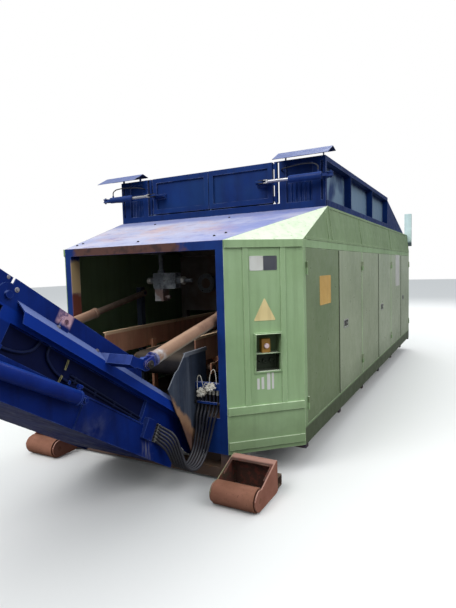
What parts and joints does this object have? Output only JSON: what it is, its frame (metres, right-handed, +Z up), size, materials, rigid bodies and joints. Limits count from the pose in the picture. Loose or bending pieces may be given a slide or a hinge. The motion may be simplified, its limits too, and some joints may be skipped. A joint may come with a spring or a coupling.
{
  "type": "industrial crusher",
  "caption": "Container-mounted industrial crusher with a knife-rotor hopper, side service doors and a tilting, folding discharge conveyor raised by hydraulic cylinders.",
  "frame": {"origin": "on the ground under the middle of the portal's front plane", "axes": "+X to the right seen from the conveyor end, +Y along the machine towards its rear, +Z up"},
  "size_m": [2.692, 9.5496, 2.675],
  "materials": {
    "navy_frame": "weathered dark blue paint",
    "deep_blue": "worn blue paint with rust",
    "worn_blue": "faded, flaked blue paint",
    "pale_green": "matt pale green paint",
    "safety_yellow": "yellow paint",
    "signal_red": "moulded",
    "slate_plate": "worn grey-blue paint with rust",
    "tan_grey": "dusty paint",
    "dark_latch": "black paint",
    "rusty_steel": "rusted",
    "rusty_orange": "rusty tan paint",
    "rod_chrome": "hard chrome",
    "plain_steel": "worn bare steel",
    "cast_grey": "grey paint",
    "black_rubber": "reinforced rubber"
  },
  "bodies": {
    "machine": {"base_frame": "navy_frame", "portal_frame": "navy_frame", "corner_panel_right": "pale_green", "corner_panel_left": "pale_green", "control_box": "tan_grey", "estop_housing": "safety_yellow", "side_frame_right": "pale_green", "side_wall_left": "pale_green", "upper_band_right": "pale_green", "upper_band_left": "pale_green", "roof": "worn_blue", "rear_wall": "pale_green", "exhaust_stack": "pale_green", "hopper_side_walls": "deep_blue", "hopper_front": "deep_blue", "hopper_rear_hood": "deep_blue", "cylinder_canopies": "worn_blue", "roller_brackets": "rusty_orange", "crusher_box": "plain_steel", "rotor_bearings": "cast_grey", "rotor_motors": "cast_grey", "collect_frame": "tan_grey", "collect_belt": "black_rubber", "discharge_chute": "slate_plate", "valve_block": "cast_grey", "engine": "cast_grey", "oil_tank": "deep_blue", "gate_hoses": "black_rubber", "hose_loop": "black_rubber"},
    "button": {"estop_button": "signal_red"},
    "roller_r": {"roller_right": "rusty_steel"},
    "roller_l": {"roller_left": "rusty_steel"},
    "knives_r": {"rotor_right": "plain_steel"},
    "knives_l": {"rotor_left": "plain_steel"},
    "inner_head": {"collect_head_drum": "rusty_steel"},
    "inner_tail": {"collect_tail_drum": "rusty_steel"},
    "lower_section": {"conveyor_lower": "deep_blue", "conveyor_belt": "black_rubber"},
    "tail_drum": {"conveyor_tail_drum": "rusty_steel"},
    "upper_section": {"conveyor_upper": "deep_blue"},
    "head_drum": {"conveyor_head_drum": "rusty_steel"},
    "lift_rod": {"lift_rods": "rod_chrome"},
    "lift_barrel": {"lift_barrels": "rusty_orange"},
    "fold_barrel": {"fold_barrels": "deep_blue"},
    "fold_rod": {"fold_rods": "rod_chrome"},
    "gate_r": {"gate_right": "deep_blue"},
    "gate_l": {"gate_left": "deep_blue"},
    "gate_r_barrel": {"gate_barrel_right": "deep_blue"},
    "gate_r_rod": {"gate_rod_right": "rod_chrome"},
    "gate_l_barrel": {"gate_barrel_left": "deep_blue"},
    "gate_l_rod": {"gate_rod_left": "rod_chrome"},
    "door_1_leaf": {"door_1": "pale_green"},
    "door_2_leaf": {"door_2": "pale_green"},
    "latch_2": {"door_latch_2": "dark_latch"},
    "door_3_leaf": {"door_3": "pale_green"},
    "door_4_leaf": {"door_4": "pale_green"},
    "latch_4": {"door_latch_4": "dark_latch"},
    "door_5_leaf": {"door_5": "pale_green"},
    "door_6_leaf": {"door_6": "pale_green"},
    "latch_6": {"door_latch_6": "dark_latch"}
  },
  "joints": [
    {"name": "conveyor_tilt", "type": "hinge", "parent": "machine", "child": "lower_section", "pos_m": [0, 0.12, 0.33], "axis": [-1, 0, 0], "range_deg": [-5, 25], "deforming": ["hose_loop"]},
    {"name": "lift_rod_swing", "type": "hinge", "parent": "machine", "child": "lift_rod", "pos_m": [0.655, 0.9, 1.373], "axis": [-1, 0, 0], "range_deg": [-2.11, 10.34]},
    {"name": "lift_stroke", "type": "slide", "parent": "lift_rod", "child": "lift_barrel", "axis": [0, -0.9806, -0.1961], "range_m": [-0.41067, 0.08253]},
    {"name": "conveyor_fold", "type": "hinge", "parent": "lower_section", "child": "upper_section", "pos_m": [0, -1.4921, 1.50669], "axis": [-1, 0, 0], "range_deg": [0, 60], "deforming": ["conveyor_belt"]},
    {"name": "fold_barrel_swing", "type": "hinge", "parent": "lower_section", "child": "fold_barrel", "pos_m": [0, -1.08519, 0.88232], "axis": [-1, 0, 0], "range_deg": [-0.05, 14.9]},
    {"name": "fold_stroke", "type": "slide", "parent": "fold_barrel", "child": "fold_rod", "axis": [0, -0.8797, 0.4756], "range_m": [-0.0005, 0.3038]},
    {"name": "hopper_gate_right", "type": "hinge", "parent": "machine", "child": "gate_r", "pos_m": [0.706, 1.268, 0], "axis": [0, 0, 1], "range_deg": [0, 75]},
    {"name": "gate_cylinder_right_swing", "type": "hinge", "parent": "machine", "child": "gate_r_barrel", "pos_m": [1.27, 1.15, 2.41], "axis": [0, 0, 1], "range_deg": [-0.05, 5.88]},
    {"name": "gate_cylinder_right_stroke", "type": "slide", "parent": "gate_r_barrel", "child": "gate_r_rod", "axis": [-1, 0, 0], "range_m": [-0.20202, 0.0005]},
    {"name": "hopper_gate_left", "type": "hinge", "parent": "machine", "child": "gate_l", "pos_m": [-0.786, 1.268, 0], "axis": [0, 0, -1], "range_deg": [0, 75]},
    {"name": "gate_cylinder_left_swing", "type": "hinge", "parent": "machine", "child": "gate_l_barrel", "pos_m": [-1.35, 1.15, 2.41], "axis": [0, 0, -1], "range_deg": [-0.05, 5.88]},
    {"name": "gate_cylinder_left_stroke", "type": "slide", "parent": "gate_l_barrel", "child": "gate_l_rod", "axis": [1, 0, 0], "range_m": [-0.20202, 0.0005]},
    {"name": "rotor_right_turn", "type": "hinge", "parent": "machine", "child": "knives_r", "pos_m": [0.2, 1.46, 1.45], "axis": [0, 1, 0], "continuous": true},
    {"name": "rotor_left_turn", "type": "hinge", "parent": "machine", "child": "knives_l", "pos_m": [-0.2, 1.46, 1.45], "axis": [0, 1, 0], "continuous": true},
    {"name": "roller_right_turn", "type": "hinge", "parent": "machine", "child": "roller_r", "pos_m": [1.015, -0.3, 0.08], "axis": [1, 0, 0], "continuous": true},
    {"name": "roller_left_turn", "type": "hinge", "parent": "machine", "child": "roller_l", "pos_m": [-0.945, -0.2, 0.08], "axis": [1, 0, 0], "continuous": true},
    {"name": "inner_head_turn", "type": "hinge", "parent": "machine", "child": "inner_head", "pos_m": [0, 0.44, 0.76], "axis": [1, 0, 0], "continuous": true},
    {"name": "inner_tail_turn", "type": "hinge", "parent": "machine", "child": "inner_tail", "pos_m": [0, 4.15, 0.76], "axis": [1, 0, 0], "continuous": true},
    {"name": "tail_drum_turn", "type": "hinge", "parent": "lower_section", "child": "tail_drum", "pos_m": [0, 0.12, 0.33], "axis": [1, 0, 0], "continuous": true},
    {"name": "head_drum_turn", "type": "hinge", "parent": "upper_section", "child": "head_drum", "pos_m": [0, -2.80884, 2.21389], "axis": [1, 0, 0], "continuous": true},
    {"name": "estop_press", "type": "slide", "parent": "machine", "child": "button", "axis": [-0.6931, 0.7209, 0], "range_m": [0, 0.005], "stiffness_N_per_m": 500},
    {"name": "door_1_swing", "type": "hinge", "parent": "machine", "child": "door_1_leaf", "pos_m": [1.259, 0.4985, 1], "axis": [0, 0, -1], "range_deg": [0, 90]},
    {"name": "door_2_swing", "type": "hinge", "parent": "machine", "child": "door_2_leaf", "pos_m": [1.259, 2.4365, 1], "axis": [0, 0, 1], "range_deg": [0, 90]},
    {"name": "latch_2_lift", "type": "hinge", "parent": "door_2_leaf", "child": "latch_2", "pos_m": [1.241, 1.7175, 1.042], "axis": [0, -1, 0], "range_deg": [0, 40]},
    {"name": "door_3_swing", "type": "hinge", "parent": "machine", "child": "door_3_leaf", "pos_m": [1.259, 2.4755, 1], "axis": [0, 0, -1], "range_deg": [0, 90]},
    {"name": "door_4_swing", "type": "hinge", "parent": "machine", "child": "door_4_leaf", "pos_m": [1.259, 4.4135, 1], "axis": [0, 0, 1], "range_deg": [0, 90]},
    {"name": "latch_4_lift", "type": "hinge", "parent": "door_4_leaf", "child": "latch_4", "pos_m": [1.241, 3.6945, 1.042], "axis": [0, -1, 0], "range_deg": [0, 40]},
    {"name": "door_5_swing", "type": "hinge", "parent": "machine", "child": "door_5_leaf", "pos_m": [1.259, 4.4525, 1], "axis": [0, 0, -1], "range_deg": [0, 90]},
    {"name": "door_6_swing", "type": "hinge", "parent": "machine", "child": "door_6_leaf", "pos_m": [1.259, 6.3905, 1], "axis": [0, 0, 1], "range_deg": [0, 90]},
    {"name": "latch_6_lift", "type": "hinge", "parent": "door_6_leaf", "child": "latch_6", "pos_m": [1.241, 5.6715, 1.042], "axis": [0, -1, 0], "range_deg": [0, 40]}
  ],
  "couplings": [
    {"joint": "lift_rod_swing", "follows": "conveyor_tilt", "ratio": 0.41168},
    {"joint": "lift_stroke", "follows": "conveyor_tilt", "m_per_rad": -0.94003},
    {"joint": "fold_barrel_swing", "follows": "conveyor_fold", "ratio": 0.24758},
    {"joint": "fold_stroke", "follows": "conveyor_fold", "m_per_rad": 0.28963},
    {"joint": "gate_cylinder_right_swing", "follows": "hopper_gate_right", "ratio": 0.07777},
    {"joint": "gate_cylinder_right_stroke", "follows": "hopper_gate_right", "m_per_rad": -0.15395},
    {"joint": "gate_cylinder_left_swing", "follows": "hopper_gate_left", "ratio": 0.07777},
    {"joint": "gate_cylinder_left_stroke", "follows": "hopper_gate_left", "m_per_rad": -0.15395},
    {"joint": "inner_tail_turn", "follows": "inner_head_turn", "ratio": 1}
  ]
}
